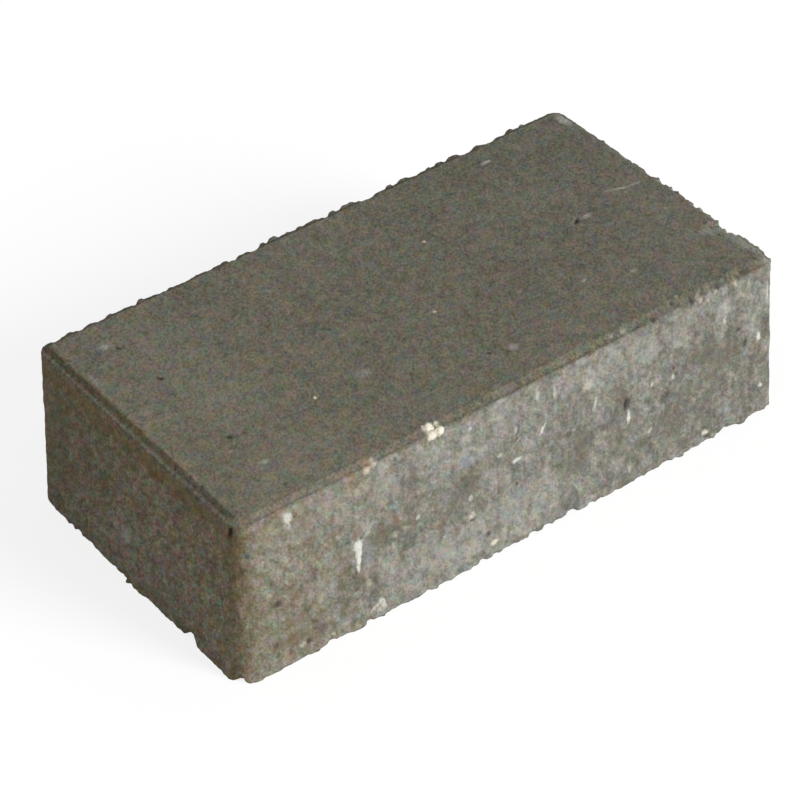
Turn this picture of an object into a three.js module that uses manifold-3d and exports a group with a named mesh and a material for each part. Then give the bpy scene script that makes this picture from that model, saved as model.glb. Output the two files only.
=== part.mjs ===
// Rectangular concrete paving stone, pressed as one piece.
//
// Millimetres. X runs along the length, Y along the width, Z up. The origin is at the
// middle of the underside, which is the face the stone is bedded on.
//
// The stone is a block whose sides spread a little towards the foot. Its upper rim is a
// narrow flat ledge, and the chamfered crown with the wearing face rises inside that ledge.

import * as THREE from 'three';
import { mergeVertices } from 'three/addons/utils/BufferGeometryUtils.js';
import Module from 'manifold-3d';

// Driving dimensions
const LENGTH = 200; // at the ledge, along X
const WIDTH = 102; // at the ledge, along Y
const THICKNESS = 60; // underside to wearing face
const FOOT_SPREAD = 1.2; // how far each side stands out at the foot, past the ledge
const CORNER_RADIUS = 4.5; // upright corners, in plan
const LEDGE_WIDTH = 1.0; // flat rim left around the foot of the chamfer
const CHAMFER_RUN = 1.6; // chamfer, measured in plan
const CHAMFER_DROP = 1.7; // chamfer, measured down from the wearing face

// Smallest plan radius left at the wearing face
const LEAST_RADIUS = 0.4;

// Each quarter round is cut into twice this many chords
const CURVE_SEGMENTS = 4;

// Worked out from the driving dimensions
const LEDGE_HEIGHT = THICKNESS - CHAMFER_DROP;
const CROWN_INSET = LEDGE_WIDTH + CHAMFER_RUN;

const wasm = await Module();
wasm.setup();

// Rectangle with round corners, centred on the origin.
function roundedRectangle(length, width, radius) {
  const x = length / 2 - radius;
  const y = width / 2 - radius;
  const quarter = Math.PI / 2;
  const outline = new THREE.Shape();
  outline.absarc(x, y, radius, 0, quarter);
  outline.absarc(-x, y, radius, quarter, 2 * quarter);
  outline.absarc(-x, -y, radius, 2 * quarter, 3 * quarter);
  outline.absarc(x, -y, radius, 3 * quarter, 4 * quarter);
  outline.closePath();
  return outline;
}

// Pushes the vertices of an upright block out towards its foot. Every corner moves as a
// whole, so the sides stay flat and the corners keep their radius.
function spreadFoot(geometry, height, spread) {
  const position = geometry.attributes.position;
  for (let i = 0; i < position.count; i += 1) {
    const push = spread * (1 - position.getZ(i) / height);
    position.setX(i, position.getX(i) + Math.sign(position.getX(i)) * push);
    position.setY(i, position.getY(i) + Math.sign(position.getY(i)) * push);
  }
  return geometry;
}

// The block from the underside up to the ledge.
function makeBlock() {
  const outline = roundedRectangle(LENGTH, WIDTH, CORNER_RADIUS);
  const geometry = new THREE.ExtrudeGeometry(outline, {
    depth: LEDGE_HEIGHT,
    bevelEnabled: false,
    curveSegments: CURVE_SEGMENTS,
  });
  return spreadFoot(geometry, LEDGE_HEIGHT, FOOT_SPREAD);
}

// The crown: the wearing face with its chamfer, rooted in the block below the ledge. The
// same bevel at its root lies inside the block.
function makeCrown() {
  const radius = Math.max(CORNER_RADIUS - CROWN_INSET, LEAST_RADIUS);
  const outline = roundedRectangle(LENGTH - 2 * CROWN_INSET, WIDTH - 2 * CROWN_INSET, radius);
  const root = LEDGE_HEIGHT / 2;
  const geometry = new THREE.ExtrudeGeometry(outline, {
    depth: root,
    bevelEnabled: true,
    bevelThickness: CHAMFER_DROP,
    bevelSize: CHAMFER_RUN,
    bevelSegments: 1,
    curveSegments: CURVE_SEGMENTS,
  });
  geometry.translate(0, 0, LEDGE_HEIGHT - root);
  return geometry;
}

function toSolid(geometry) {
  const bare = geometry.clone();
  bare.deleteAttribute('normal');
  bare.deleteAttribute('uv');
  const merged = mergeVertices(bare);
  return new wasm.Manifold(new wasm.Mesh({
    numProp: 3,
    vertProperties: new Float32Array(merged.attributes.position.array),
    triVerts: new Uint32Array(merged.index.array),
  }));
}

function toGeometry(solid) {
  const { vertProperties, triVerts } = solid.getMesh();
  const geometry = new THREE.BufferGeometry();
  geometry.setAttribute('position', new THREE.BufferAttribute(vertProperties, 3));
  geometry.setIndex(new THREE.BufferAttribute(triVerts, 1));
  geometry.computeVertexNormals();
  return geometry;
}

const concrete = new THREE.MeshStandardMaterial({
  color: 0x6b6860,
  roughness: 0.92,
  metalness: 0,
  flatShading: true,
});

const stone = new THREE.Mesh(toGeometry(toSolid(makeBlock()).add(toSolid(makeCrown()))), concrete);
stone.name = 'paving_stone';

const part = new THREE.Group();
part.name = 'concrete_paving_stone';
part.add(stone);

export default part;
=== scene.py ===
"""Concrete paving stone: the pressed body, its worn concrete surface, a studio and a camera.

The plain solid of the stone is loaded first as a fixed frame, in metres, +Z up, with the
origin in the middle of the underside. The dressed stone is modelled over that solid and
stands for it. Sizes in this file are in millimetres unless they say otherwise.
"""

import math
import random
from collections import namedtuple

import bmesh
import bpy
from bpy.props import FloatProperty, FloatVectorProperty, IntProperty, PointerProperty
from mathutils import Matrix, Vector, noise
from mathutils.kdtree import KDTree


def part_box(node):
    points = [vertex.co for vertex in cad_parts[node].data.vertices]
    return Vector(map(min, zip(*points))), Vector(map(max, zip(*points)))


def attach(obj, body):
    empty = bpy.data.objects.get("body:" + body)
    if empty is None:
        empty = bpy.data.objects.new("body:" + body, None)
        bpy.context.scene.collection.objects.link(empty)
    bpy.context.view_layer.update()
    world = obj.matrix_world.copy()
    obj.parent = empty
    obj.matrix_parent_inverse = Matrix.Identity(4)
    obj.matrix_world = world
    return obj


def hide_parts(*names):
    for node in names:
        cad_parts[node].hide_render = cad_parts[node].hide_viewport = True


bl_info = {
    "name": "Concrete Paving Stone",
    "version": (1, 0, 0),
    "blender": (4, 5, 0),
    "location": "3D View > Sidebar > Paving",
    "description": "Builds a pressed concrete paving stone with its worn surface, and a studio",
    "category": "Add Mesh",
}

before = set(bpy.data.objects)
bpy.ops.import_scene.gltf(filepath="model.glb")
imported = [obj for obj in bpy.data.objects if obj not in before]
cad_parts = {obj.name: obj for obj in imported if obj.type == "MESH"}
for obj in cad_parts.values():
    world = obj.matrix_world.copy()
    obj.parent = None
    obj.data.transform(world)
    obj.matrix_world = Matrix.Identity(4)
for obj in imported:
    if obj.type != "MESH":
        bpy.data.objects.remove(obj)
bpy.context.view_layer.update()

NODE = "paving_stone"
BODY = "root"

MM = 0.001
X, Y, Z = 0, 1, 2

# Lengths shorter than this count as none.
HAIR = 0.001


# --- Settings a user would change ---


def linear(levels):
    """The linear light of a colour given as it shows on a screen, from 0 to 255."""
    shares = [level / 255 for level in levels]
    return [c / 12.92 if c <= 0.04045 else ((c + 0.055) / 1.055) ** 2.4 for c in shares]


def length(name, description, millimetres, least=0.0):
    return FloatProperty(
        name=name,
        description=description,
        default=millimetres * MM,
        min=least * MM,
        unit="LENGTH",
        precision=5,
    )


def amount(name, description, default):
    return FloatProperty(name=name, description=description, default=default, min=0.0, soft_max=2.0)


def count(name, description, default):
    return IntProperty(name=name, description=description, default=default, min=0)


def angle(name, description, degrees):
    return FloatProperty(
        name=name, description=description, default=math.radians(degrees), subtype="ANGLE"
    )


def colour(name, description, *levels):
    return FloatVectorProperty(
        name=name,
        description=description,
        default=linear(levels),
        min=0.0,
        max=1.0,
        size=3,
        subtype="COLOR",
    )


class StoneShape(bpy.types.PropertyGroup):
    """Sizes of the moulded form and of the relief on it."""

    foot_spread: length("Foot spread", "How far each side stands out at the foot", 1.2)
    ledge_width: length("Ledge width", "Flat rim around the foot of the chamfer", 1.0)
    chamfer_run: length("Chamfer run", "Chamfer measured in plan", 1.6)
    chamfer_drop: length("Chamfer drop", "Chamfer measured down from the wearing face", 1.7)
    corner_radius: length("Corner radius", "Radius of the upright corners", 4.0, 3.0)
    worn_radius: length("Worn corner radius", "Radius of the front left corner", 6.5, 3.0)
    face_cell: length("Face cell", "Mesh spacing in the middle of the faces", 1.35, 0.8)
    arris_cell: length("Arris cell", "Mesh spacing along the arrises", 0.45, 0.3)
    crumble: amount("Crumble", "How much the arrises have crumbled or carry burrs", 1.0)
    relief: amount("Relief", "Depth of the lumps and hollows of the faces", 1.0)
    pits: count("Pits", "Pits, scars and stains on the back, the right and the underside", 140)
    clouds: count("Clouds", "Clouds of cement film on the same sides", 40)
    seed: count("Seed", "Start of the random draws", 11)


class StoneFinish(bpy.types.PropertyGroup):
    """Colours of the concrete and of what is on it."""

    wearing: colour("Wearing face", "Fine cement face of the top", 106, 103, 91)
    # The film colour is the pale cement film, and also painted light low on the left side.
    film_and_light: colour("Cement film", "Pale film left on the sides by the mould", 142, 141, 133)
    open_sides: colour("Open texture", "Bare sandy concrete of the sides", 106, 103, 93)
    # The earth colour is brown dirt on the sides, and painted shade in the chamfer.
    earth_and_shade: colour("Earth", "Brown dirt on the sides and in the chamfer", 106, 92, 64)
    rust: colour("Rust", "Iron stains and rusty sand", 128, 98, 68)
    scar: colour("Scar", "White lime scars", 206, 206, 198)
    cream: colour("Cream", "Cream mortar and shell sand", 226, 219, 200)
    # The blue colour is blue-grey sand and stains, and one painted shadow beside the crescent.
    blue: colour("Blue", "Blue-grey sand and stains", 118, 130, 142)
    # The pit colour is painted shade in the pits and beside grains of sand.
    pit_shade: colour("Pit", "Dirt at the bottom of pits", 44, 37, 30)


class StoneView(bpy.types.PropertyGroup):
    """The camera: where it stands around the stone and how long its lens is."""

    azimuth: angle("Azimuth", "Turn around the stone, from looking along +Y", -37.37)
    elevation: angle("Elevation", "Height of the camera above the horizon", 39.48)
    roll: angle("Roll", "Turn of the picture", -0.63)
    distance: length("Distance", "From the aim point to the camera", 960.7)
    aim_across: length("Aim across", "Aim point, across the picture", -3.65, -100.0)
    aim_up: length("Aim up", "Aim point, up the picture", -7.1, -100.0)
    aim_height: length("Aim height", "Aim point above the floor, before both", 30.0)
    lens: FloatProperty(
        name="Lens", description="Focal length", default=142.95, min=20.0, unit="CAMERA"
    )


# --- What is on the surface ---

# Kinds of mark; each is a mask on the mesh that the finish reads. Layers lie over the whole
# stone already, and their marks add to them or take away.
# The pit kind paints shade into pits, chips and beside grains of sand.
SPOTS = ("scar", "cream", "rust", "blue", "pit_shade")
# Both layers also carry painted light: less film and more earth in the chamfer paint shade there,
# and more film low on the left side paints light.
LAYERS = ("film_and_light", "earth_and_shade")

# A mark on a face: its place along and up that face of the plain block, its width and height, how
# strong it is, how far it stands proud or lies deep, and its tilt in degrees.
Mark = namedtuple("Mark", "face kind along up width height amount relief tilt", defaults=(0, 0))

# The placed marks of each face and kind. A row holds what follows the kind in Mark.
MARKS = {
    ("top", "scar"): (
        # Faint streaks and patches
        (-84.8, 37.4, 3, 3.6, 0.38), (68.2, -0.5, 4, 2, 0.38, 0, 10),
        (84.1, 4.8, 6.8, 1.3, 0.34, 0, -21), (90.7, 3.2, 7.4, 1.2, 0.33, 0, -5),
        (-32, -19, 6, 4, 0.3), (61.9, 40.6, 4.2, 1.4, 0.5), (9.6, -36.3, 3.4, 3.4, 0.36),
        (-77.6, -33.2, 2.6, 2.2, 0.38), (46.5, -24.6, 2.2, 1.8, 0.38),
        (92.8, -28.8, 7, 4.5, 0.32), (97, -41, 5, 20, 0.32), (96.4, 43.1, 4, 7, 0.45),
        (-95.6, 25.8, 2.6, 9, 0.25),
    ),
    ("top", "cream"): (
        # The mortar lump on the rim
        (-32.1, -49.2, 2.8, 2.8, 1, 0.6), (-29.2, -50.8, 2.6, 1.8, 1, 0.4),
        (-33.8, -48.5, 1.3, 1.8, 0.62, 0.3), (-29.4, -48.8, 1.7, 0.9, 0.62, 0.2),
        # Crumbs in the rim on the right
        (40.5, -49.7, 2.2, 1.4, 0.34), (36.1, -49.4, 1.8, 1.2, 0.28),
        (62.7, -47.6, 1.8, 1.4, 0.35),
        # Shell sand
        (-49.9, -19.4, 1.3, 1.3, 0.8, 0.1), (20.8, 20, 1.2, 1.2, 0.68, 0.1),
        (1.8, -9.2, 1.4, 1.4, 0.58, 0.1), (86.7, 3.8, 2.6, 1.4, 0.42, 0, -15),
        (61.1, -30.2, 3, 1.8, 0.31), (98.7, -50.1, 7, 2.6, 0.34),
    ),
    ("top", "rust"): (
        (66.7, -46.6, 2, 1.6, 0.4), (2.5, -2.7, 1.6, 1, 0.6),
    ),
    # Pit marks darken with painted shade.
    ("top", "pit_shade"): (
        # In the rim on the right
        (88.8, -49.9, 3.4, 1.8, 0.5, -0.2), (59.9, -48.9, 1.8, 1.6, 0.7, -0.2),
        (46.5, -50.8, 8, 1, 0.34),
        # Air pits
        (-81.8, 35, 1.1, 2.8, 0.9, -0.5, 20), (-79.9, 15.6, 1.2, 2.4, 1, -0.6, 30),
        (-79.2, -18.2, 1.6, 2.4, 0.9, -0.5, 40), (-79, -44.2, 1.4, 1.4, 0.6, -0.3),
        (63.9, -0.5, 1.2, 2.6, 0.85, -0.6, -50), (-22.6, -7.7, 1.1, 1.1, 0.85, -0.3),
        (2.2, -34, 1.2, 1.2, 0.85, -0.3),
    ),
    ("top", "film_and_light"): (
        # Along the rims: marks that take film away are painted shade in the chamfer, and the last
        # makes the left ledge paler
        (72, -50.2, 76, 5, -0.45), (-58, -48.7, 84, 2, -0.52), (0, -49.8, 80, 4, -0.33),
        (-97.9, 22, 2.6, 62, -0.05), (-97.6, -26, 2.6, 46, 0.5),
        # Broad clouds
        (-85, -20, 60, 64, 0.52), (-85, 25, 50, 60, 0.25), (-87, -27, 24, 40, 0.34),
        (68, -33, 18, 28, -0.16), (60, 20, 80, 80, -0.22), (-60, 0, 40, 90, 0.12),
        (0, 0, 90, 80, -0.15),
    ),
    ("top", "earth_and_shade"): (
        # Earth taken from the chamfer on the right and added to it on the left, as painted shade;
        # and less over the right half.
        (75, -50, 60, 6, -0.2), (85, 0, 90, 130, -0.2), (-98, -26, 3, 46, 0.1),
        (-98, 22, 3.6, 62, 0.4),
    ),
    ("front", "scar"): (
        # At the left end of the rim
        (-83, 54.5, 3.2, 4.2, 0.75, 0.15, 10), (-82.3, 51.3, 1.2, 3.6, 0.5, 0, 12),
        # The white crescent, and its faint arm
        (-59.1, 31.3, 2.8, 4.4, 1, 0.2), (-58.9, 28.5, 2.2, 5, 1, 0.2),
        (-59, 25.7, 1.5, 5.4, 1, 0.2), (-59.2, 23.1, 1.1, 4, 0.9, 0.1, 4),
        (-55.6, 34.3, 1.8, 7.4, 0.38, 0, -38),
        # Streaks, drips and specks
        (-53.4, 4.6, 1.7, 4.4, 0.5, 0.1, -51), (-51, 5.2, 2, 4.6, 0.68, 0.1, 24),
        (-1.4, 32.6, 3.4, 1.4, 0.85, 0.1, 4), (-2.4, 32.4, 1.6, 2.2, 0.6),
        (8.3, 39.3, 1.2, 4.6, 0.75, 0.1, -30), (-1.7, 44.1, 1, 2.6, 0.6),
        (6.5, 52.4, 1.6, 3.6, 0.52, 0, -15), (13, 50.6, 1.3, 5.6, 0.55),
        (28.3, 38.9, 1.3, 5.2, 0.58, 0.1, -12), (41.1, 26.9, 1.5, 4.6, 0.86, 0.15, -4),
        (41.7, 5.9, 1.5, 3.6, 0.5), (20.1, 32.8, 2, 1.6, 0.34), (-18.4, 53.1, 1.2, 1.6, 0.62),
        (50.3, 34.6, 1.2, 1.6, 0.7), (58.8, 33.2, 1.3, 2.4, 0.62), (49.9, 46, 2.2, 9, 0.26),
        (-9.1, 25.2, 0.9, 9, 0.3), (93.1, 31.9, 1.5, 3.2, 1, 0.1),
        (93.9, 12, 1.6, 1.9, 0.85, 0.1), (79.4, 49, 1.8, 9, 0.3), (79.2, 45, 1.2, 3.8, 0.6),
        (96.7, 47.6, 0.9, 9, 0.62), (89.2, 54, 1.4, 4, 0.3), (-28.1, 17.4, 1.2, 6, 0.28, 0, -37),
        (-22.8, 15.3, 1.2, 6, 0.28, 0, -37), (-37.6, 30, 1.7, 1.7, 0.58),
        (-68.1, 2.4, 1.3, 1.3, 0.48), (26.4, 49, 6, 9, 0.26), (94, 15, 4.6, 5.4, 0.2),
        (-18.6, 27.2, 2, 2.2, 0.5, 0.15), (87.3, 28, 1.6, 1.6, 0.28), (80, 8.8, 1.8, 1.8, 0.32),
    ),
    ("front", "cream"): (
        # In the tan stains on the rim
        (-60.8, 56.9, 2.2, 2, 0.24), (-55.3, 57, 3, 2.8, 0.5, 0.2),
        (-52.9, 58, 2.6, 2, 0.46, 0.15),
        # The mortar lump on the rim
        (-32.3, 57.5, 3.2, 2.8, 1, 0.6), (-29.3, 57.7, 2.2, 1.8, 1, 0.4),
        # Crumbs and shell sand
        (-56.4, 35.8, 1.8, 1.8, 0.35), (-45.9, 28.2, 2.6, 2.6, 0.36, 0.1),
        (-46.4, 23.8, 1.4, 2.8, 0.34), (-55.8, 15.4, 2.4, 3.2, 0.33), (-51.6, 2.9, 4, 2.4, 0.4),
        (-0.8, 39.5, 1.3, 3.2, 0.36, 0, -45), (83.6, 57.1, 1.3, 3, 0.42, 0.1),
        (69.4, 57.4, 1.8, 1.4, 0.46, 0.1), (61.6, 48.3, 2.2, 2, 0.32),
        (72.4, 56.3, 1.8, 1.6, 0.34), (75.5, 58, 1.4, 1.2, 0.62, 0.1),
        (-78.9, 4.8, 2.4, 2, 0.42), (25.6, 46.8, 4.4, 4, 0.38), (33.4, 56.2, 11, 3, 0.2),
        (-18.4, 20.4, 3, 2.6, 0.5, 0.3), (49.6, 16.9, 2.4, 2.2, 0.42, 0.1),
        (71.2, 4.4, 2.6, 2.4, 0.66, 0.3), (-7.9, 37.5, 2, 1.6, 0.5, 0.1),
        (-10.4, 5.4, 3, 2.2, 0.72, 0.3, 10), (69.4, 58.3, 2.2, 1.2, 0.42),
    ),
    ("front", "rust"): (
        # Tan stains on the rim
        (-60.8, 57.1, 3, 2.8, 0.9, 0.1), (-55, 57.2, 3.6, 3.2, 0.85), (-54.2, 57.6, 5, 2.6, 0.6),
        (-34.4, 57.2, 2, 2.2, 0.6), (-28.6, 55.2, 1.4, 1.6, 0.7),
        # Rusty sand
        (-49.6, 33.4, 2, 1.8, 0.4), (-45.5, 33.3, 1.8, 2, 0.6),
        (58.9, 36.8, 1.8, 2.1, 0.8, -0.1), (66.8, 38, 6.5, 1.8, 0.45), (22.3, 21.4, 4, 4.6, 0.4),
        (-1.4, 23.1, 1.8, 2, 0.7), (93.3, 26, 1.7, 5.6, 0.5, -0.1), (-59.9, 35.5, 3, 3, 0.65),
        (-59.9, 15.5, 3, 3, 0.4), (92.3, 58.3, 4.4, 1.2, 0.4), (-79.7, 24.8, 2.4, 2.2, 0.4),
    ),
    ("front", "blue"): (
        # The first is painted shadow: the shaded side of the hollow beside the crescent.
        (-55.6, 25.6, 3.4, 14, 0.5, -0.25), (-20.1, 41.4, 4.6, 4.2, 0.75),
        (87.4, 27.9, 2, 2, 0.85), (80, 8.7, 2.2, 2, 0.85), (-96.5, 47.4, 3.2, 3, 0.6),
    ),
    # Pit marks darken with painted shade.
    ("front", "pit_shade"): (
        # In the hollow beside the crescent
        (-51.2, 31.2, 2.2, 2.4, 0.3, -0.15), (-48.4, 28.4, 2.4, 2, 0.28, -0.15),
        (-51.4, 26.6, 1.8, 2.6, 0.3, -0.15),
        # Air pits and shadows of sand
        (-59.7, 14.7, 2, 2, 0.6, -0.2), (-17.9, 18.2, 2.8, 1.6, 0.65, -0.2),
        (49.4, 13.9, 2.2, 1.6, 0.6, -0.1), (72.6, 1.8, 2.6, 1.8, 0.7, -0.2),
        (58.9, 36.6, 1.2, 1.8, 0.78), (60, 33.9, 1.2, 2.4, 0.66, -0.1),
        (87.8, 32, 1.6, 3.6, 0.82, -0.15), (75.6, 10.2, 3, 4, 0.46, -0.1),
        (-1.4, 23.1, 1.3, 1.5, 0.72), (-96.5, 47.2, 2, 2, 0.75, -0.2),
        (-76.6, 4.7, 2.1, 2.1, 0.8, -0.6), (-87, 24.8, 2.4, 2.4, 0.86, -0.5),
        (-88.3, 9.8, 1.5, 1.6, 0.56, -0.3), (-77.2, 17.2, 2.8, 3.2, 0.5, -0.3),
        (-74, 29.6, 2.6, 2, 0.48, -0.2), (40.6, 31.2, 1.9, 3.6, 0.9, -0.8),
        (39.9, 33.4, 3.4, 6, 0.34, -0.3), (-20.8, 31.5, 3.6, 3, 0.36, -0.4),
        (-12.2, 9.4, 1.8, 2.4, 0.82, -0.5), (-5.5, 1.9, 2.4, 1.8, 0.5, -0.3),
        (18, 31.7, 2.2, 2.6, 0.56, -0.4), (14.6, 32.4, 3, 2.4, 0.34, -0.2),
        (21.9, 20.8, 3.6, 3.2, 0.34, -0.2), (55.6, 26.6, 3.6, 3.8, 0.64, -0.5),
        (84.7, 38.2, 3.6, 1.2, 0.7, -0.3, 12), (27.2, 3.5, 2.6, 2, 0.62, -0.5),
        # In the rim on the right
        (85.3, 58, 2, 1.3, 0.42, -0.2), (75.1, 58.2, 1.8, 1.4, 0.45, -0.2),
        (66.7, 58.2, 1.8, 1.3, 0.8, -0.2), (51.1, 58.2, 1.8, 1.3, 0.7, -0.2),
    ),
    ("front", "film_and_light"): (
        # Broad clouds
        (-74, 36, 18, 16, -0.14), (-68, 51, 30, 12, 0.3), (-83, 53, 36, 12, 0.5),
        (-90.6, 43, 7, 28, 0.5), (-64, 57, 44, 4, 0.15), (-42, 38, 14, 26, -0.36),
        (-42, 24, 16, 12, -0.3), (-14, 50, 28, 14, 0.5), (-30, 9, 40, 20, 0.28),
        (-10, 40, 60, 14, 0.12), (-24, 42, 16, 10, 0.46), (5, 54, 140, 12, 0.24),
        (28, 39, 24, 14, 0.2), (6, 42, 24, 14, 0.12), (6, 13, 26, 20, 0.45),
        (22, 25, 14, 20, -0.4), (25, 11, 14, 14, -0.2), (33, 49, 34, 12, 0.5),
        (66, 57.5, 60, 3, 0.08), (40, 14, 14, 22, -0.18), (60, 48, 24, 14, 0.32),
        (82, 54, 44, 9, 0.18), (66, 30, 34, 14, -0.12), (76, 36, 15, 18, -0.25),
        (39, 27, 12, 20, -0.4), (70, 14, 60, 24, -0.12), (91, 40, 14, 22, 0.5),
        (92, 11, 12, 18, -0.28), (-92, 16, 24, 36, -0.34), (-78, 28, 60, 70, -0.1),
        (-85, 7, 36, 14, -0.32), (-74, 10, 24, 16, -0.55), (-74, 24, 18, 14, -0.2),
        (-58, 14, 16, 20, -0.25), (78.6, 46.5, 6, 16, 0.8), (-98.6, 25, 5, 32, 0.52),
        # Small clouds
        (-51, 53, 9, 8, 0.45), (-50.2, 29.3, 9, 11, -0.65, -0.35), (-47.8, 19.5, 7, 13, 0.4),
        (-20.9, 31, 9, 9, -0.5), (-26, 24, 13, 12, -0.45), (17, 33, 8, 8, -0.2),
        (96.5, 34, 5, 10, -0.65), (97.8, 7, 5, 12, 0.45), (-2.1, 16.4, 11, 10, 0.75),
        (-14.7, 2.8, 8, 5, -0.7), (-69, 25, 9, 11, 0.62), (-94.5, 55.3, 9, 6, 0.6),
        (-16.1, 22.6, 6, 7, -0.55), (-70.8, 54.4, 9, 6, 0.5), (-61, 53.9, 6, 6, -0.65),
        (-56.8, 28, 5, 10, -0.45), (-51.6, 43.4, 8, 8, 0.22), (-42.8, 15.4, 7, 9, -0.25),
        (-77, 17.5, 7, 8, -0.22), (-29.6, 3.4, 9, 5, -0.5), (32.6, 18, 8, 11, -0.25),
        (33.5, 50.6, 9, 8, 0.22), (27.7, 33, 7, 8, 0.4), (-66.4, 13.4, 7, 7, 0.35),
        (-56.6, 16.9, 5, 6, 0.3), (42.2, 45.6, 9, 10, 0.2), (18.5, 51, 9, 8, 0.2),
        (4.3, 32.4, 8, 8, 0.22), (11.2, 18, 8, 8, -0.22), (-61, 43.8, 6, 7, -0.2),
    ),
    ("front", "earth_and_shade"): (
        (-50.4, 29.3, 6, 9, 0.15), (76.6, 33.5, 7, 14, 0.22), (21.6, 27.7, 7, 7, 0.2),
        (39.3, 34.3, 5.5, 8, 0.32), (99, 30, 10, 76, -0.3),
    ),
    ("left", "scar"): (
        (4.6, 17.8, 4, 5, 0.3),
    ),
    # Pit marks darken with painted shade.
    ("left", "pit_shade"): (
        (-47.4, 55.4, 1.5, 3.4, 1.3, -1, 20), (5.1, 23.5, 1.2, 3.4, 0.5, -0.2),
    ),
    ("left", "film_and_light"): (
        # The first two lift the foot of the side with painted light against the shade by the floor;
        # the two that take much film away by the top are painted shade by the rim; the one at the
        # very top makes the ledge paler.
        (0, 8, 110, 34, 0.45), (-15, 6, 90, 26, 0.28), (42, 35, 30, 50, -0.15),
        (0, 54.5, 120, 7, -0.8), (-26, 56, 50, 5, -0.7), (-38, 44, 40, 30, -0.25),
        (0, 59.6, 120, 2.4, 0.5), (30, 40, 70, 40, -0.35), (-44, 24, 30, 60, 0.15),
    ),
    ("left", "earth_and_shade"): (
        # The long row along the top is painted shade by the rim.
        (-36, 50, 36, 16, 0.12), (0, 53.5, 120, 7, 0.3), (-28, 24, 50, 50, 0.14),
    ),
}

# The placed chips (size below zero) and burrs (above zero) of the rim and of the foot, for each
# side of the plain block: place along the side, width and size.
NICKS = {
    ("rim", "back"): (
        (-93, 3, -0.55), (-88.6, 2.4, 0.35), (-84.6, 2, -0.6), (-77.4, 3.2, -0.4),
        (-74.2, 1.8, 0.55), (-65.3, 1.2, -0.45), (-63, 2, 0.95), (-55, 4, -0.35),
        (-48, 7, -0.35), (-37.9, 2.2, -0.45), (-32, 2.2, 0.35), (-29.2, 3, -1.05),
        (-21.2, 3.6, -0.65), (-17.8, 1.8, 0.8), (-13.8, 3, 1.25), (-8.3, 1.2, 0.5),
        (-3.8, 1.8, 0.55), (1, 4, 0.7), (6.3, 2, -0.6), (8.8, 2.2, 0.85), (15, 4.6, 0.95),
        (22.4, 5, -0.85), (31.2, 2.4, 0.75), (36.6, 4, 0.85), (41.2, 2.4, -0.3),
        (46.8, 1.4, 0.6), (51.2, 2.8, 0.75), (56.5, 4, 0.85), (61.8, 4.6, -0.7), (66, 2.2, 0.45),
        (71.4, 5, -0.6), (77, 1.6, -0.35), (79.9, 2.8, 0.95), (85, 1.4, 0.6),
    ),
    ("rim", "right"): (
        (28.2, 1.4, 0.5), (18, 4.6, -0.4), (14.2, 1.2, -0.4), (6.4, 3.6, -0.8), (2.1, 1.2, 0.7),
        (-0.2, 1.8, -0.75), (-3.9, 1, 0.5), (-4.9, 1, -0.7), (-6.9, 1, 0.5), (-10.9, 1.2, -0.5),
        (-15.6, 1.8, -0.85), (-20, 3, -0.5), (-23.6, 2.2, -0.7), (-27.4, 2.4, -4.4),
        (-29.8, 2, -1.4), (-32, 3.4, -3.4), (-38, 2, 0.3), (-43, 1.4, 0.5), (-47.6, 3, -0.8),
    ),
    ("rim", "front"): (
        (40.8, 2.4, -0.8), (56, 4, -0.6), (66, 5, -0.9), (74, 2.4, -0.8), (86, 7, -0.8),
    ),
    ("foot", "front"): (
        (-100.5, 3, -0.7), (-95, 5, 0.45), (-87.5, 4.5, 0.3), (-75, 3.6, 0.8),
        (-68.9, 2.4, -0.75), (-60, 5, 0.85), (-55.4, 1.8, -0.65), (-51, 1.6, 0.4),
        (-40.2, 6, 0.6), (-32.6, 2.8, 0.8), (-26, 2.4, 0.3), (-20.5, 4, 0.1), (-14.6, 2.6, -0.8),
        (-9.8, 2, -0.75), (-5, 5, -0.35), (4.4, 3, -1.05), (9.8, 2.6, -0.75), (15, 5, -0.5),
        (19.4, 3.4, -1.6), (26.6, 2.2, -0.65), (29.8, 2.2, -0.7), (36.4, 1.4, -0.5),
        (44.4, 1.6, -0.4), (50, 2.4, -0.5), (55.9, 4, -0.85), (61.7, 2.4, 0.8), (71.8, 5, -0.8),
        (78.4, 4.6, -1.1), (82.2, 6, -1.3), (91.9, 6, -1.6), (97.8, 4.6, -0.9),
    ),
    ("foot", "left"): (
        (48.5, 6, -0.65), (38.8, 1.6, -0.35), (35.2, 2, -0.7), (31.4, 2.6, -0.95), (26, 4, -0.4),
        (8.4, 1.2, -0.4), (5.1, 1.8, 1.2), (0.2, 6, 0.8), (-25.6, 4.4, -2.2), (-38, 16, 0.3),
        (-49.2, 4.4, -1.7),
    ),
}

# How far each corner stands from true, at the ledge and at the foot.
CORNER_DRIFT = {
    (-1, -1): ((-0.45, -0.12, 0.11), (-0.62, 0.10, 0.0)),
    (1, -1): ((-0.46, -0.14, -0.59), (1.37, -0.42, 0.0)),
    (-1, 1): ((0.55, -0.30, -0.11), (-0.06, 0.49, 0.0)),
    (1, 1): ((-0.84, 0.31, -0.46), (0.20, 0.20, 0.0)),
}

# For each face: the axes along and up it, the axis through it, and the side of the origin.
FACES = {
    "top": (X, Y, Z, 1),
    "under": (X, Y, Z, 0),
    "front": (X, Z, Y, -1),
    "back": (X, Z, Y, 1),
    "left": (Y, Z, X, -1),
    "right": (Y, Z, X, 1),
}


# --- Noise ---


def smooth(low, high, value):
    """0 below low, 1 above high, and a smooth step between."""
    t = min(max((value - low) / (high - low), 0.0), 1.0)
    return t * t * (3.0 - 2.0 * t)


def cloud(point, size, octaves=3):
    """Soft noise of about -1 to 1, with lumps of that size."""
    return 1.6 * noise.fractal(point / size, 1.0, 2.0, octaves)


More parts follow.
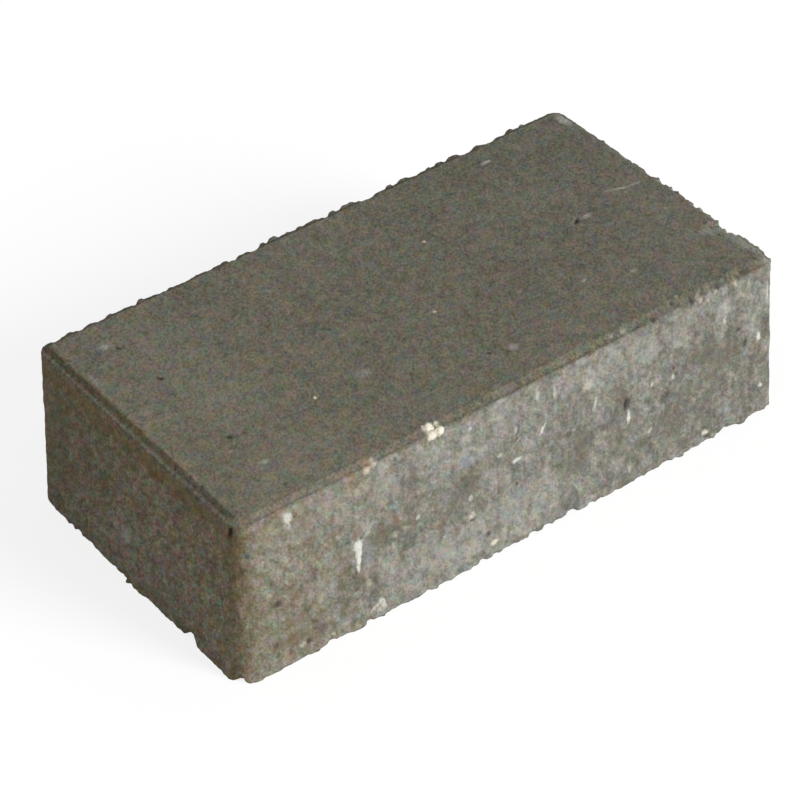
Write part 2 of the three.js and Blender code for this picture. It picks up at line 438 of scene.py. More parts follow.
def crumb(point, size):
    """A value of 0 to 1 for each crumb of that size, with a dip between crumbs."""
    distances, centres = noise.voronoi(point / size)
    value = 0.5 + 0.5 * noise.noise(centres[0] * 7.3)
    return value * smooth(0.0, 0.25, distances[1] - distances[0])


# --- The moulded form ---


class Block:
    """The plain block that the moulded form is bent from."""

    def __init__(self, shape):
        low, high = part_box(NODE)
        self.spread = shape.foot_spread / MM
        self.ledge = shape.ledge_width / MM
        self.run = shape.chamfer_run / MM
        self.drop = shape.chamfer_drop / MM
        self.corner_radius = shape.corner_radius / MM
        self.worn_radius = shape.worn_radius / MM
        self.half = (high.x / MM - self.spread, high.y / MM - self.spread)
        self.height = (high.z - low.z) / MM - self.drop
        self.inset = self.ledge + self.run
        self.face_cell = shape.face_cell / MM
        self.arris_cell = shape.arris_cell / MM
        self.rim_band = self.inset + 3 * self.arris_cell
        self.foot_band = 2.5
        self.crumble = shape.crumble
        self.relief = shape.relief

    def inward(self, point):
        """Plan distances from the two nearest upright faces."""
        return self.half[X] - abs(point.x), self.half[Y] - abs(point.y)

    def radius(self, point):
        """The radius of the nearest upright corner."""
        return self.worn_radius if point.x < 0 and point.y < 0 else self.corner_radius

    def outward(self, point):
        """The way out of the block in plan."""
        along, across = self.inward(point)
        radius = self.radius(point)
        if along < radius and across < radius:
            way = Vector((radius - along, radius - across, 0.0)).normalized()
        elif along < across:
            way = Vector((1.0, 0.0, 0.0))
        else:
            way = Vector((0.0, 1.0, 0.0))
        return Vector((math.copysign(way.x, point.x), math.copysign(way.y, point.y), 0.0))

    def side(self, point):
        """The name of the nearest upright face, and the place along it."""
        along, across = self.inward(point)
        if along < across:
            return ("left" if point.x < 0 else "right"), point.y
        return ("front" if point.y < 0 else "back"), point.x

    def on_top(self, point):
        return point.z > self.height - HAIR

    def place(self, mark):
        """The centre of a mark on the block."""
        along, up, through, sign = FACES[mark.face]
        centre = Vector()
        centre[along] = mark.along
        centre[up] = mark.up
        centre[through] = sign * (self.height if through == Z else self.half[through])
        return centre


def keep_cuts(block, axis):
    """Where a cut has to fall along an axis, so that creases and bands are sharp."""
    if axis == Z:
        return [block.foot_band, block.height - block.rim_band]
    insets = (block.ledge, block.inset, block.rim_band)
    return [side * (block.half[axis] - inset) for side in (-1, 1) for inset in insets]


def cut_planes(bm, block):
    for axis in (X, Y, Z):
        normal = Vector()
        normal[axis] = 1.0
        for at in keep_cuts(block, axis):
            geometry = bm.verts[:] + bm.edges[:] + bm.faces[:]
            bmesh.ops.bisect_plane(
                bm, geom=geometry, dist=HAIR, plane_co=normal * at, plane_no=normal
            )


def divide_along(bm, block, axis):
    """Divides the edges that run along an axis, finely by the arrises."""
    groups = {}
    for edge in bm.edges:
        span = abs((edge.verts[1].co - edge.verts[0].co)[axis])
        if span < HAIR:
            continue
        cell = block.arris_cell if span < block.rim_band + HAIR else block.face_cell
        groups.setdefault(round(span / cell) - 1, []).append(edge)
    for cuts, edges in groups.items():
        if cuts > 0:
            bmesh.ops.subdivide_edges(bm, edges=edges, cuts=cuts)


def refine(bm, block, wanted):
    """Divides the long edges of the wanted faces in three."""
    longest = 0.6 * block.face_cell
    edges = set()
    for face in bm.faces:
        if wanted(face):
            edges.update(e for e in face.edges if e.calc_length() > longest)
    bmesh.ops.subdivide_edges(
        bm, edges=list(edges), cuts=2, use_grid_fill=True, use_single_edge=True
    )


def near_arris(block, face):
    """Whether a face lies by the rim or by the foot of the sides."""
    middle = face.calc_center_median()
    edge = min(block.inward(middle))
    rim = max(block.height - middle.z, edge) < block.rim_band - 0.3
    foot = max(middle.z, edge) < 0.8 * block.foot_band
    return rim or foot


def near_marks(bm, block, marks):
    """The faces that the spots touch."""
    faces = list(bm.faces)
    tree = tree_of([face.calc_center_median() for face in faces])
    touched = set()
    for mark in marks:
        if mark.kind in LAYERS:
            continue
        reach = 0.75 * max(mark.width, mark.height) + 0.7 * block.face_cell
        for centre, index, _ in tree.find_range(block.place(mark), reach):
            if mark_distance(block, mark, centre, 0.5 * block.face_cell) < 1.3:
                touched.add(faces[index])
    return touched


def cut_block(bm, block, marks):
    """A block cut into cells, finest along the arrises and around the marks."""
    bmesh.ops.create_cube(bm, size=1.0)
    size = (2 * block.half[X], 2 * block.half[Y], block.height)
    bmesh.ops.scale(bm, vec=size, verts=bm.verts)
    bmesh.ops.translate(bm, vec=(0, 0, block.height / 2), verts=bm.verts)
    cut_planes(bm, block)
    for axis in (X, Y, Z):
        divide_along(bm, block, axis)
    touched = near_marks(bm, block, marks)
    refine(bm, block, lambda face: face in touched or near_arris(block, face))


def corner_drift(block, point):
    """How far a point stands from true, blended between the eight corners."""
    share = [0.5 + 0.5 * min(max(point[a] / block.half[a], -1.0), 1.0) for a in (X, Y)]
    rise = point.z / block.height
    drift = Vector()
    for (side_x, side_y), (ledge, foot) in CORNER_DRIFT.items():
        weight = share[X] if side_x > 0 else 1.0 - share[X]
        weight *= share[Y] if side_y > 0 else 1.0 - share[Y]
        drift += weight * (Vector(ledge) * rise + Vector(foot) * (1.0 - rise))
    return drift


def crease_shift(block, inside, moves):
    """The move of a point so far inside the rim, from those of its edge, crease and arris."""
    edge, crease, arris = moves
    if inside < block.ledge:
        return edge + (crease - edge) * inside / block.ledge
    if inside < block.inset:
        return crease + (arris - crease) * (inside - block.ledge) / block.run
    return arris * (1.0 - smooth(block.inset, 2.5 * block.inset, inside))


# How far the rim's edge, its crease and its arris stand from true on the left, inward and up.
LEFT_RIM_IN = (-0.25, 0.45, -0.1)
LEFT_RIM_UP = (0.0, 0.25, 0.0)

# By how much the chamfer in front is too short at its left end, and by how much less at the right.
FRONT_SHORT = 0.85
FRONT_GAIN = 0.75


def rim_shift(block, point):
    """How far a point of the rim stands from true: a wide ledge left, a short chamfer in front."""
    shift = Vector()
    below = smooth(0.0, 4.0, block.height - point.z)
    along, across = block.inward(point)
    if point.x < 0.0:
        ends = smooth(1.0, 7.0, across)
        shift.x = ends * crease_shift(block, along, LEFT_RIM_IN)
        shift.z = ends * crease_shift(block, along, LEFT_RIM_UP)
    if point.y < 0.0:
        short = FRONT_SHORT - FRONT_GAIN * smooth(-90.0, 40.0, point.x)
        shift.y = smooth(1.0, 7.0, along) * crease_shift(block, across, (0.0, 0.0, -short))
    return shift * (1.0 - below)


def moulded(block, point):
    """Where a point of the plain block lies on the moulded stone."""
    along, across = block.inward(point)
    radius = block.radius(point)
    place = point.copy()
    if along < radius and across < radius:
        out_x = radius - along
        out_y = radius - across
        pull = max(out_x, out_y) / math.hypot(out_x, out_y)
        place.x = math.copysign(block.half[X] - radius + out_x * pull, point.x)
        place.y = math.copysign(block.half[Y] - radius + out_y * pull, point.y)
    push = block.spread * (1.0 - point.z / block.height)
    place.x *= 1.0 + push / block.half[X]
    place.y *= 1.0 + push / block.half[Y]
    if block.on_top(point):
        rise = (min(along, across) - block.ledge) / block.run
        place.z += block.drop * min(max(rise, 0.0), 1.0)
    return place + rim_shift(block, point) + corner_drift(block, point)


# --- Relief ---


def tree_of(points):
    """A tree that finds the points near a place."""
    tree = KDTree(len(points))
    for index, point in enumerate(points):
        tree.insert(point, index)
    tree.balance()
    return tree


def mark_distance(block, mark, point, margin=0.0):
    """Distance of a point from a mark, where 1 is the mark's outline."""
    along, up, through, _ = FACES[mark.face]
    offset = point - block.place(mark)
    turn = math.radians(mark.tilt)
    across = offset[along] * math.cos(turn) + offset[up] * math.sin(turn)
    upward = offset[up] * math.cos(turn) - offset[along] * math.sin(turn)
    half_width = 0.5 * mark.width + margin
    half_height = 0.5 * mark.height + margin
    depth = offset[through] / (half_width + half_height)
    return math.sqrt((across / half_width) ** 2 + (upward / half_height) ** 2 + depth**2)


def nick_size(nicks, place):
    """The chip or burr that the placed nicks leave at a place along a side."""
    total = 0.0
    for along, width, size in nicks:
        total += size * (1.0 - smooth(0.25, 0.75, abs(place - along) / width))
    return total


# How far a chip reaches for its size, and which share of the rest of its reach a point moves.
CHIP_REACH = 1.3
CHIP_SHARE = 0.4

# How far a burr reaches, and how far it stands out and up for its size.
BURR_REACH = 1.2
BURR_OUT = 0.3
BURR_UP = 0.75


def bite(size, below, inside):
    """Inward and downward moves of a point so far below and so far inside an arris."""
    if size < 0.0:
        reach = -CHIP_REACH * size
        return CHIP_SHARE * max(reach - below, 0.0), CHIP_SHARE * max(reach - inside, 0.0)
    fall = max(1.0 - max(below, inside) / BURR_REACH, 0.0)
    return -BURR_OUT * size * fall, -BURR_UP * size * fall


# How far from the rim and from the foot wear moves the stone, and how many times as far a burr
# stands out at the foot as at the rim.
RIM_REACH = 6.0
FOOT_REACH = 3.0
FOOT_BURR = 3.0

# Between these places along it, the front rim goes over from sound to crumbled.
FRONT_CRUMBLES = (25.0, 50.0)


def wear(block, arris, point):
    """The size of the chip (below zero) or burr (above zero) on an arris near a point."""
    side, place = block.side(point)
    placed = nick_size(NICKS.get((arris, side), ()), place)
    level = Vector((point.x, point.y, 0.3 * point.z))
    loose = 0.6 * (crumb(level, 2.2) - 0.35) + 0.35 * cloud(level, 2.0)
    if arris == "foot":
        loose += 0.3 * cloud(level, 6.0) - 0.1
    share = 0.3 if (arris, side) in NICKS else 1.0
    if side == "front" and arris == "rim":
        share += 0.9 * smooth(*FRONT_CRUMBLES, place)
    return block.crumble * (placed + share * loose)


def worn_shift(block, point):
    """The move of a point by the wear of the arrises that it is near."""
    edge = max(min(block.inward(point)), 0.0)
    below = block.height - point.z
    move = Vector()
    if max(edge, below) < RIM_REACH:
        inward, down = bite(wear(block, "rim", point), below, edge)
        move -= inward * block.outward(point)
        move.z -= down
    if max(edge, point.z) < FOOT_REACH:
        size = wear(block, "foot", point)
        inward, up = bite(size, point.z, edge)
        if size > 0.0:
            inward *= FOOT_BURR
        move -= inward * block.outward(point)
        move.z += max(up, 0.0)
    return move


def chamfer_share(block, point):
    """1 in the middle of the chamfer, fading to 0 at half its width past its sides."""
    middle = block.ledge + 0.5 * block.run
    return 1.0 - smooth(0.3, 1.0, abs(min(block.inward(point)) - middle) / block.run)


def film_less_chamfer_shade(block, point):
    """Cement film before the marks, thinned in the chamfer as painted shade: little of it on the
    underside and on the short sides.
    """
    drawn = Vector((point.x, point.y, 0.35 * point.z))
    film_and_light = 0.5 + 0.15 * cloud(point, 26.0) + 0.2 * cloud(drawn, 7.0)
    if block.on_top(point):
        # Less film darkens the wearing face: painted shade in the chamfer.
        return film_and_light - 0.15 * chamfer_share(block, point)
    if point.z < HAIR:
        return film_and_light - 0.6
    side, _ = block.side(point)
    return 0.6 * film_and_light - 0.1 if side in ("left", "right") else film_and_light


def relief(block, point, film_and_light):
    """Height of the surface over the moulded form, rougher on the sides where film is thin."""
    broad = cloud(point, 30.0, 2)
    lumps = cloud(point, 6.0)
    sand = cloud(point, 2.0, 2)
    if block.on_top(point):
        rim = 1.0 - smooth(0.8 * block.inset, 1.5 * block.inset, min(block.inward(point)))
        return 0.07 * broad + 0.03 * lumps + (0.035 + 0.06 * rim) * sand
    drawn = Vector((point.x, point.y, 0.15 * point.z))
    drag = cloud(drawn, 2.2, 2)
    rough = 1.25 - 0.7 * min(max(film_and_light, 0.0), 1.0)
    return 0.12 * broad + rough * (0.11 * lumps + 0.09 * sand) + 0.05 * drag


# Shares of the way from a mark's middle to its outline: it is full up to the first, and gone
# past the second.
MARK_CORE = 0.4
MARK_FRINGE = 1.6


def apply_marks(block, points, marks, masks):
    """Writes the marks into the masks, and returns the height that they add."""
    tree = tree_of(points)
    heights = [0.0] * len(points)
    for mark in marks:
        reach = 0.9 * max(mark.width, mark.height)
        mask = masks[mark.kind]
        for point, index, _ in tree.find_range(block.place(mark), reach):
            ragged = 1.0 + 0.2 * cloud(point, 0.3 + 0.35 * mark.width, 2)
            distance = ragged * mark_distance(block, mark, point)
            share = 1.0 - smooth(MARK_CORE, MARK_FRINGE, distance)
            heights[index] += mark.relief * share
            if mark.kind in LAYERS:
                mask[index] += mark.amount * share
            else:
                mask[index] = max(mask[index], mark.amount * share)
    return heights


def placed_marks():
    return [Mark(face, kind, *row) for (face, kind), rows in MARKS.items() for row in rows]


def scattered_marks(shape, block):
    """Small pits, scars, stains and clouds of film on the faces that have no placed marks."""
    rng = random.Random(shape.seed)
    marks = []
    for _ in range(shape.pits):
        face = rng.choice(("under", "under", "back", "back", "right", "right"))
        kind = rng.choice(("pit_shade", "pit_shade", "pit_shade", "rust", "scar"))
        marks.append(scattered_mark(rng, block, face, kind))
    for _ in range(shape.clouds):
        face = rng.choice(("back", "right", "under"))
        half = block.half[FACES[face][0]]
        across = rng.uniform(-half, half)
        up = rng.uniform(0.0, block.height)
        size = rng.uniform(10.0, 26.0)
        marks.append(Mark(face, "film_and_light", across, up, size, size, rng.uniform(-0.4, 0.45)))
    return marks


def scattered_mark(rng, block, face, kind):
    """One small mark of a kind, somewhere on a face."""
    along, up, _, _ = FACES[face]
    place = rng.uniform(-0.96, 0.96) * block.half[along]
    if up == Z:
        height = rng.uniform(0.05, 0.95) * block.height
    else:
        height = rng.uniform(-0.95, 0.95) * block.half[up]
    size = rng.uniform(0.9, 2.2)
    long = size * rng.uniform(0.8, 1.5)
    if kind == "pit_shade":
        # A pit is a hollow with painted shade in it.
        return Mark(face, kind, place, height, size, long, rng.uniform(0.4, 0.9), -0.3 * size)
    if kind == "scar":
        return Mark(face, kind, place, height, 0.7 * size, 2.0 * long, rng.uniform(0.5, 1.0), 0.08)
    return Mark(face, kind, place, height, size, long, rng.uniform(0.4, 0.9), 0.1)


def short_side(block, point, low, high):
    """1 on the short sides and 0 on the others, fading by the corners from high to low."""
    along, across = block.inward(point)
    return 0.0 if block.on_top(point) else smooth(low, high, across - along)


def earth_and_chamfer_shade(block, point):
    """Brown earth on the short sides and the left of the front, more by the upright corners, and in
    the chamfer as painted shade.
    """
    if block.on_top(point):
        # On the top only in the chamfer: painted shade, tinted brown.
        return 0.08 * chamfer_share(block, point)
    corner = 1.0 - smooth(1.0, 8.0, max(block.inward(point)))
    short = short_side(block, point, -3.0, 1.0)
    long = 0.5 * (1.0 - smooth(-95.0, -10.0, point.x)) - 0.15 if point.y < 0.0 else 0.0
    return 0.48 * short + long * (1.0 - short) + 0.2 * corner


def wearing_amount(block, point):
    """1 on the wearing face, fading raggedly to 0 by the arris, and further in on the right."""
    below = block.height - point.z
    worn = smooth(-30.0, 60.0, point.x)
    ragged = (0.3 + 0.6 * worn) * cloud(point, 2.2) + 0.8 * worn
    return 1.0 - smooth(0.0, 1.2, below - min(block.inward(point)) + ragged)


# --- The mesh ---


def store_masks(mesh, masks):
    for name, values in masks.items():
        attribute = mesh.attributes.new(name, "FLOAT", "POINT")
        attribute.data.foreach_set("value", values)


def plain_masks(block, points):
    """The masks before any mark is on them."""
    masks = {kind: [0.0] * len(points) for kind in SPOTS}
    masks["film_and_light"] = [film_less_chamfer_shade(block, point) for point in points]
    masks["earth_and_shade"] = [earth_and_chamfer_shade(block, point) for point in points]
    masks["wearing"] = [wearing_amount(block, point) for point in points]
    masks["open"] = [short_side(block, point, 0.0, 9.0) for point in points]
    return masks


def bend_block(bm, block, points, heights):
    """Moves each vertex from the block to the moulded, crumbled and uneven stone."""
    for vert, point in zip(bm.verts, points):
        vert.co = moulded(block, point) + worn_shift(block, point)
    bm.normal_update()
    normals = [vert.normal.copy() for vert in bm.verts]
    for vert, normal, height in zip(bm.verts, normals, heights):
        vert.co += normal * height
        vert.co.z = max(vert.co.z, 0.0)
        vert.co *= MM


def shaped_stone(shape):
    """The mesh of the stone, with its masks."""
    block = Block(shape)
    marks = placed_marks() + scattered_marks(shape, block)
    bm = bmesh.new()
    cut_block(bm, block, marks)
    points = [vert.co.copy() for vert in bm.verts]
    masks = plain_masks(block, points)
    heights = apply_marks(block, points, marks, masks)
    for index, point in enumerate(points):
        heights[index] += block.relief * relief(block, point, masks["film_and_light"][index])
    bend_block(bm, block, points, heights)
    for face in bm.faces:
        face.smooth = True
    mesh = bpy.data.meshes.new("dressed_stone")
    bm.to_mesh(mesh)
    bm.free()
    store_masks(mesh, masks)
    return mesh


# --- Shader nodes ---

# The turn of all noise, in radians, so that no face lies along its cells.
NOISE_TURN = (0.6, 0.4, 0.9)


class Value:
    """A number that varies over the surface. Sums and products of it add Math nodes."""

    def __init__(self, graph, socket):
        self.graph = graph
        self.socket = socket

    def math(self, operation, first, second):
        inputs = {0: first, 1: second}
        node = self.graph.node("ShaderNodeMath", {"operation": operation}, inputs)
        return Value(self.graph, node.outputs[0])

    def __add__(self, other):
        return self.math("ADD", self, other)

    __radd__ = __add__

    def __sub__(self, other):
        return self.math("SUBTRACT", self, other)

    def __rsub__(self, other):
        return self.math("SUBTRACT", other, self)

    def __mul__(self, other):
        return self.math("MULTIPLY", self, other)

    __rmul__ = __mul__

    def step(self, low, high):
        """0 below low, 1 above high, and a smooth step between."""
        settings = {"interpolation_type": "SMOOTHSTEP"}
        inputs = {"Value": self, "From Min": low, "From Max": high}
        node = self.graph.node("ShaderNodeMapRange", settings, inputs)
        return Value(self.graph, node.outputs[0])


class Graph:
    """The nodes of a material or a world, which starts without any."""

    def __init__(self, owner):
        self.owner = owner
        owner.use_nodes = True
        self.tree = owner.node_tree
        self.tree.nodes.clear()

    def node(self, kind, settings=None, inputs=None):
        """Adds a node, sets its settings, and then its inputs."""
        node = self.tree.nodes.new(kind)
        for name, setting in (settings or {}).items():
            setattr(node, name, setting)
        for name, value in (inputs or {}).items():
            if isinstance(value, Value):
                value = value.socket
            if isinstance(value, bpy.types.NodeSocket):
                self.tree.links.new(value, node.inputs[name])
            else:
                node.inputs[name].default_value = value
        return node

    def mask(self, name):
        """A mask stored on the mesh."""
        node = self.node("ShaderNodeAttribute", {"attribute_name": name})
        return Value(self, node.outputs["Fac"])

    def vector(self, operation, first, second):
        settings = {"operation": operation}
        return self.node("ShaderNodeVectorMath", settings, {0: first, 1: second}).outputs[0]

    def turned(self, place, scale):
        """A place scaled, and turned for the noise."""
        inputs = {0: self.vector("MULTIPLY", place, scale), "Rotation": NOISE_TURN}
        node = self.node("ShaderNodeVectorRotate", {"rotation_type": "EULER_XYZ"}, inputs)
        return node.outputs[0]

    def drawn_out(self, place, way, times):
        """A place on which any noise comes out so many times as long one way."""
        settings = {"operation": "DOT_PRODUCT"}
        dot = self.node("ShaderNodeVectorMath", settings, {0: place, 1: way}).outputs["Value"]
        size = Value(self, dot) * (1.0 / times - 1.0)
        settings = {"operation": "SCALE"}
        move = self.node("ShaderNodeVectorMath", settings, {0: way, "Scale": size}).outputs[0]
        return self.vector("ADD", place, move)

    def mix(self, factor, start, end):
        """A colour between two, which are inputs 6 and 7 of a Mix node, and output 2."""
        inputs = {0: factor, 6: start, 7: end}
        return self.node("ShaderNodeMix", {"data_type": "RGBA"}, inputs).outputs[2]

    def noise(self, place, size, octaves=2.0, roughness=0.5):
        """A noise node over a place in millimetres, with lumps of that size."""
        inputs = {"Vector": place, "Scale": 1 / size, "Detail": octaves, "Roughness": roughness}
        return self.node("ShaderNodeTexNoise", None, inputs)

    def cloud(self, place, size, octaves=2.0, roughness=0.5):
        """Noise about zero, from -1 to 1."""
        node = self.noise(place, size, octaves, roughness)
        return Value(self, node.outputs["Fac"]) * 2.0 - 1.0


def rgba(colour_setting):
    return (*colour_setting, 1.0)


# --- The finish ---

# How much the sand varies in red, green and blue.
SPECKLE_TINT = (1.0, 0.58, 1.0)

# The grain of the concrete is drawn out so many times, along a slant up and out of the sides.
GRAIN_LENGTH = 2.0
GRAIN_WAY = (-0.47, -0.61, 0.64)


def speckle(graph, place, surface, size, depth):
    """A surface colour made here warmer and there cooler, as mixed sand does."""
    hue = graph.noise(place, size, 3.0, 0.6).outputs["Color"]
    centred = graph.vector("SUBTRACT", hue, (0.5, 0.5, 0.5))
    warm = graph.vector("MULTIPLY", centred, SPECKLE_TINT)
    scaled = graph.vector("MULTIPLY", warm, depth)
    factor = graph.vector("ADD", scaled, (1.0, 1.0, 1.0))
    return graph.vector("MULTIPLY", surface, factor)


def shaded(graph, surface, level):
    """A surface colour made lighter or darker by a level about zero."""
    factor = level + 1.0
    combined = graph.node("ShaderNodeCombineXYZ", None, {0: factor, 1: factor, 2: factor})
    return graph.vector("MULTIPLY", surface, combined.outputs[0])


def grains(graph, place, size):
    """Single grains of sand: above zero pale, below zero dark, and zero between them."""
    bent = graph.vector("ADD", place, graph.noise(place, 0.6 * size).outputs["Color"])
    inputs = {"Vector": bent, "Scale": 1.0 / size}
    cells = graph.node("ShaderNodeTexVoronoi", None, inputs)
    body = Value(graph, cells.outputs["Distance"]).step(0.42, 0.25)
    draw = graph.node("ShaderNodeSeparateColor", None, {0: cells.outputs["Color"]})
    pick = Value(graph, draw.outputs[0])
    return body * (pick.step(0.84, 0.94) - pick.step(0.16, 0.06))


# Places in millimetres and the noises on them: from the finest to the broadest, then the lines
# that the mould drew on the sides, the ragged edge of spots, and single grains of sand.
Grain = namedtuple("Grain", "place fine grit lumps patch drag edge sand")


def grain_of(graph):
    """The grain of the concrete, drawn out along its way."""
    coordinates = graph.node("ShaderNodeTexCoord").outputs["Object"]
    place = graph.drawn_out(coordinates, GRAIN_WAY, GRAIN_LENGTH)
    place = graph.turned(place, (1 / MM, 1 / MM, 1 / MM))
    drawn = graph.turned(coordinates, (1 / MM, 1 / MM, 0.2 / MM))
    return Grain(
        place=place,
        fine=graph.cloud(place, 0.35, 1.0),
        grit=graph.cloud(place, 0.8, 2.0, 0.6),
        lumps=graph.cloud(place, 2.2, 3.0, 0.65),
        patch=graph.cloud(place, 7.0, 3.0, 0.6),
        drag=graph.cloud(drawn, 1.8, 2.0, 0.6),
        edge=graph.cloud(place, 0.7, 2.0, 0.6),
        sand=grains(graph, place, 1.1),
    )


def layered(graph, grain, finish):
    """The bare concrete, then its cement film, its wearing face and the earth on it; earth in the
    chamfer is painted shade, and film low on the left side is painted light.
    """
    lumps, grit = grain.lumps, grain.grit
    film_and_light = graph.mask("film_and_light") + 0.5 * grain.patch + 0.8 * lumps + 0.5 * grit + 0.4 * grain.drag
    surface = graph.mix(film_and_light.step(-0.3, 1.3), rgba(finish.open_sides), rgba(finish.film_and_light))
    surface = graph.mix(graph.mask("wearing"), surface, rgba(finish.wearing))
    earth_and_shade = graph.mask("earth_and_shade") * (1.0 - 0.8 * lumps - 0.5 * grit)
    return graph.mix(earth_and_shade.step(-0.2, 1.1), surface, rgba(finish.earth_and_shade))


def mottled(graph, grain, surface):
    """A surface made uneven in lightness and in hue by its grain."""
    _, fine, grit, lumps, patch, drag, _, sand = grain
    wearing = graph.mask("wearing")
    open_grain = graph.mask("open")
    rough = 0.25 * patch + 0.48 * lumps + 0.16 * drag + 0.15 * sand + 0.28 * grit + 0.05 * fine
    rough = rough + open_grain * (0.03 * lumps + 0.42 * grit + 0.3 * fine)
    plain = 0.13 * patch + 0.5 * lumps + 0.86 * grit + 0.22 * fine + 0.12 * sand
    # Less film darkens the wearing face, which paints the shade in the chamfer.
    plain = plain + 0.3 * (graph.mask("film_and_light") - 0.5)
    surface = shaded(graph, surface, (1.0 - wearing) * rough + wearing * plain)
    depth = 0.8 + 0.3 * wearing + 0.62 * open_grain + 0.4 * graph.mask("earth_and_shade")
    return speckle(graph, grain.place, surface, 3.0, depth)


def spotted(graph, grain, surface, finish):
    """A surface with its stains, scars and sand, and with painted shade in its pits and beside
    grains of sand.
    """
    for name, strength in (("rust", 0.8), ("blue", 0.7), ("cream", 1.0), ("scar", 1.0)):
        mask = (graph.mask(name) * (1.0 + 0.7 * grain.edge)).step(0.04, 1.05) * strength
        surface = graph.mix(mask, surface, rgba(getattr(finish, name)))
    # Painted shade in the pits and beside grains of sand.
    painted_pit_shade = (graph.mask("pit_shade") * (1.0 + 0.6 * grain.edge)).step(0.05, 1.1) * 0.9
    return graph.mix(painted_pit_shade, surface, rgba(finish.pit_shade))


def bumped(graph, grain):
    """The normal of the relief that is too fine for the mesh."""
    _, _, grit, lumps, _, drag, _, sand = grain
    wearing = graph.mask("wearing")
    sides = 1.0 - wearing
    height = sides * (0.10 * lumps + 0.12 * grit + 0.08 * drag + 0.1 * sand) + wearing * 0.09 * grit
    return graph.node("ShaderNodeBump", None, {"Distance": MM, "Height": height}).outputs[0]


def concrete(finish):
    """The concrete of all faces, told apart by the masks."""
    graph = Graph(bpy.data.materials.new("concrete"))
    grain = grain_of(graph)
    surface = layered(graph, grain, finish)
    surface = mottled(graph, grain, surface)
    surface = spotted(graph, grain, surface, finish)
    inputs = {
        "Base Color": surface,
        "Roughness": 0.92,
        "Specular IOR Level": 0.25,
        "Normal": bumped(graph, grain),
    }
    shader = graph.node("ShaderNodeBsdfPrincipled", None, inputs)
    graph.node("ShaderNodeOutputMaterial", None, {"Surface": shader.outputs[0]})
    return graph.owner


# --- The studio ---

WHITE = (1.0, 1.0, 1.0, 1.0)

# The floor: half its width in metres, the colour that lights the stone, and what is seen of it.
FLOOR_HALF = 4.0
FLOOR_COLOUR = (0.8, 0.8, 0.8, 1.0)
FLOOR_SHOWN = (0.22, 0.22, 0.22, 1.0)
FLOOR_GLOW = 0.82

# The light of the world, and the key light: its way, its strength and its width in degrees.
WORLD_LEVEL = 0.38
KEY_DIRECTION = (0.30, -0.69, 0.40)
KEY_STRENGTH = 3.14
KEY_ANGLE = 24.0


def seen_directly(graph):
    """1 on rays from the camera, in a mirror and through glass, and 0 on the others."""
    path = graph.node("ShaderNodeLightPath").outputs
    seen = Value(graph, path["Is Camera Ray"])
    for name in ("Is Glossy Ray", "Is Transmission Ray"):
        seen = seen.math("MAXIMUM", seen, path[name])
    return seen


def mixed_by_view(graph, lit, shown):
    """The shader that lights the stone where it isn't seen, and the other where it is."""
    inputs = {0: seen_directly(graph), 1: lit.outputs[0], 2: shown.outputs[0]}
    return graph.node("ShaderNodeMixShader", None, inputs).outputs[0]


def floor_material():
    """A pale floor that shows almost white, by its glow, and keeps a soft shadow."""
    graph = Graph(bpy.data.materials.new("floor"))
    plain = graph.node("ShaderNodeBsdfDiffuse", None, {"Color": FLOOR_COLOUR})
    dull = graph.node("ShaderNodeBsdfDiffuse", None, {"Color": FLOOR_SHOWN})
    glow = graph.node("ShaderNodeEmission", None, {"Strength": FLOOR_GLOW})
    shown = graph.node("ShaderNodeAddShader", None, {0: dull.outputs[0], 1: glow.outputs[0]})
    surface = mixed_by_view(graph, plain, shown)
    graph.node("ShaderNodeOutputMaterial", None, {"Surface": surface})
    return graph.owner


def make_floor(scene):
    bm = bmesh.new()
    bmesh.ops.create_grid(bm, x_segments=1, y_segments=1, size=FLOOR_HALF)
    mesh = bpy.data.meshes.new("floor")
    bm.to_mesh(mesh)
    bm.free()
    mesh.materials.append(floor_material())
    floor = bpy.data.objects.new("floor", mesh)
    scene.collection.objects.link(floor)


def make_world(scene):
    """White where it is seen, and a soft even light on the stone."""
    scene.world = bpy.data.worlds.new("studio")
    graph = Graph(scene.world)
    lit = graph.node("ShaderNodeBackground", None, {"Color": WHITE, "Strength": WORLD_LEVEL})
    shown = graph.node("ShaderNodeBackground", None, {"Color": WHITE})
    surface = mixed_by_view(graph, lit, shown)
    graph.node("ShaderNodeOutputWorld", None, {"Surface": surface})


def make_key(scene):
    sun = bpy.data.lights.new("key", "SUN")
    sun.energy = KEY_STRENGTH
    sun.angle = math.radians(KEY_ANGLE)
    key = bpy.data.objects.new("key", sun)
    key.rotation_euler = Vector(KEY_DIRECTION).to_track_quat("Z", "Y").to_euler()
    scene.collection.objects.link(key)


def make_camera(scene, view):
    """A camera on a sphere around the stone, turned and moved as the view says."""
    right = Vector((math.cos(view.azimuth), math.sin(view.azimuth), 0.0))
    back = math.cos(view.elevation) * Vector((right.y, -right.x, 0.0))
    back.z = math.sin(view.elevation)
    turn = Matrix((right, back.cross(right), back)).transposed()
    turn = turn @ Matrix.Rotation(view.roll, 3, "Z")
    aim = turn @ Vector((view.aim_across, view.aim_up, 0.0))
    aim.z += view.aim_height
    lens = bpy.data.cameras.new("camera")
    lens.lens = view.lens
    camera = bpy.data.objects.new("camera", lens)
    camera.matrix_world = Matrix.Translation(aim + back * view.distance) @ turn.to_4x4()
    scene.collection.objects.link(camera)
    scene.camera = camera


# --- Operators and panel ---

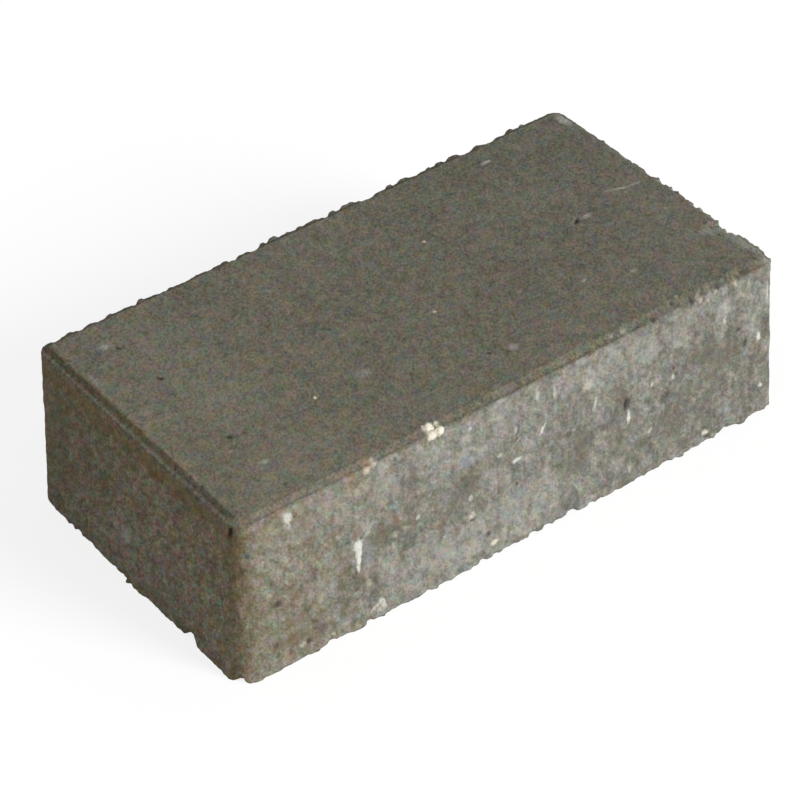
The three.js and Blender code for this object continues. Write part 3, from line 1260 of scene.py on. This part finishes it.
# The groups of settings, by the name that each has on the scene.
SETTINGS = {"paving_shape": StoneShape, "paving_finish": StoneFinish, "paving_view": StoneView}


class PAVING_OT_make_stone(bpy.types.Operator):
    """Build the pressed stone with its chamfer, crumbled arrises, pits and marks"""

    bl_idname = "paving.make_stone"
    bl_label = "Make Stone"
    bl_options = {"REGISTER", "UNDO"}

    def execute(self, context):
        scene = context.scene
        mesh = shaped_stone(scene.paving_shape)
        mesh.materials.append(concrete(scene.paving_finish))
        stone = bpy.data.objects.new("dressed_stone", mesh)
        scene.collection.objects.link(stone)
        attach(stone, BODY)
        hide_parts(NODE)
        return {"FINISHED"}


class PAVING_OT_make_studio(bpy.types.Operator):
    """Set out the pale floor, the soft light and the camera"""

    bl_idname = "paving.make_studio"
    bl_label = "Make Studio"
    bl_options = {"REGISTER", "UNDO"}

    def execute(self, context):
        scene = context.scene
        make_floor(scene)
        make_world(scene)
        make_key(scene)
        make_camera(scene, scene.paving_view)
        scene.view_settings.view_transform = "Standard"
        return {"FINISHED"}


class PAVING_PT_panel(bpy.types.Panel):
    """Lists the settings and the operators of the paving stone"""

    bl_idname = "PAVING_PT_panel"
    bl_label = "Paving Stone"
    bl_space_type = "VIEW_3D"
    bl_region_type = "UI"
    bl_category = "Paving"

    def draw(self, context):
        for name in SETTINGS:
            group = getattr(context.scene, name)
            box = self.layout.box()
            for setting in group.__annotations__:
                box.prop(group, setting)
        self.layout.operator(PAVING_OT_make_stone.bl_idname)
        self.layout.operator(PAVING_OT_make_studio.bl_idname)


CLASSES = (*SETTINGS.values(), PAVING_OT_make_stone, PAVING_OT_make_studio, PAVING_PT_panel)


def register():
    for cls in CLASSES:
        bpy.utils.register_class(cls)
    for name, group in SETTINGS.items():
        setattr(bpy.types.Scene, name, PointerProperty(type=group))


def unregister():
    for name in SETTINGS:
        delattr(bpy.types.Scene, name)
    for cls in reversed(CLASSES):
        bpy.utils.unregister_class(cls)


def main():
    register()
    bpy.ops.paving.make_stone()
    bpy.ops.paving.make_studio()


if __name__ == "__main__":
    main()
